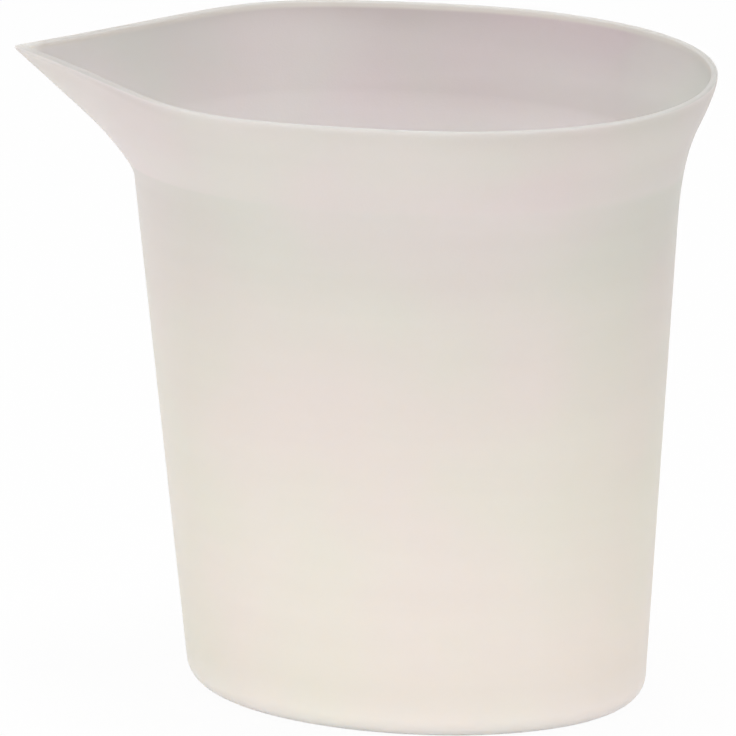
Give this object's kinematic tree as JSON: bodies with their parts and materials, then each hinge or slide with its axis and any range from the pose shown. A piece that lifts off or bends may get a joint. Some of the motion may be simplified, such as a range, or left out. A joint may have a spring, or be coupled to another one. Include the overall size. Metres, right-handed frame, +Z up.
{
  "type": "flexible measuring cup",
  "caption": "Flexible translucent silicone measuring cup: an oval tapered bowl, a flared collar with a pointed pouring spout, and raised volume marks on the far wall.",
  "frame": {"origin": "on the table, at the middle of the shoulder's oval; it lies on the flat centre land of the underside", "axes": "+Z up, +X towards the rounded back of the cup, so the spout points along -X and the raised marks are on the +Y wall"},
  "size_m": [0.1322, 0.1114, 0.1206],
  "materials": {
    "silicone": "satin"
  },
  "bodies": {
    "root": {"silicone_cup": "silicone"}
  },
  "joints": []
}
